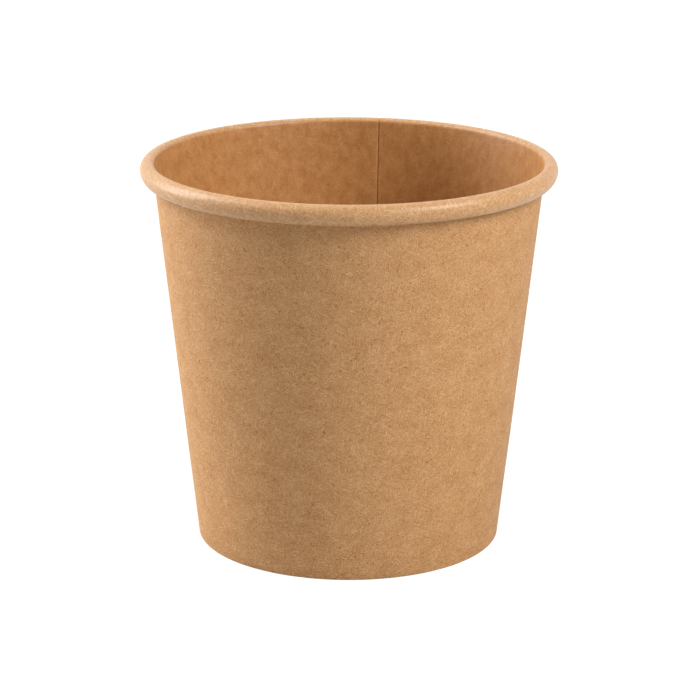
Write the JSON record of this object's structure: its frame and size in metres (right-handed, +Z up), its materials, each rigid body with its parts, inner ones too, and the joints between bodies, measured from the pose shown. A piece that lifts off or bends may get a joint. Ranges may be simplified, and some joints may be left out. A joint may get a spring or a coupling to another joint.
{
  "type": "paper soup cup",
  "caption": "Round tapered paper soup cup with a rolled rim, a lapped side seam and a recessed bottom disc.",
  "frame": {"origin": "middle of the base, in the plane that the cup stands on", "axes": "+Z up along the cup's axis, with the inner edge of the side seam 80.5 degrees from +X towards +Y"},
  "size_m": [0.09, 0.09, 0.0844],
  "materials": {
    "sidewall_board": "plain brown kraft board, uncoated and matt outside, with a thin coating inside",
    "bottom_board": "plain brown kraft board with a thin coating on its upper face"
  },
  "bodies": {
    "root": {"sidewall": "sidewall_board", "bottom_disc": "bottom_board"}
  },
  "joints": []
}
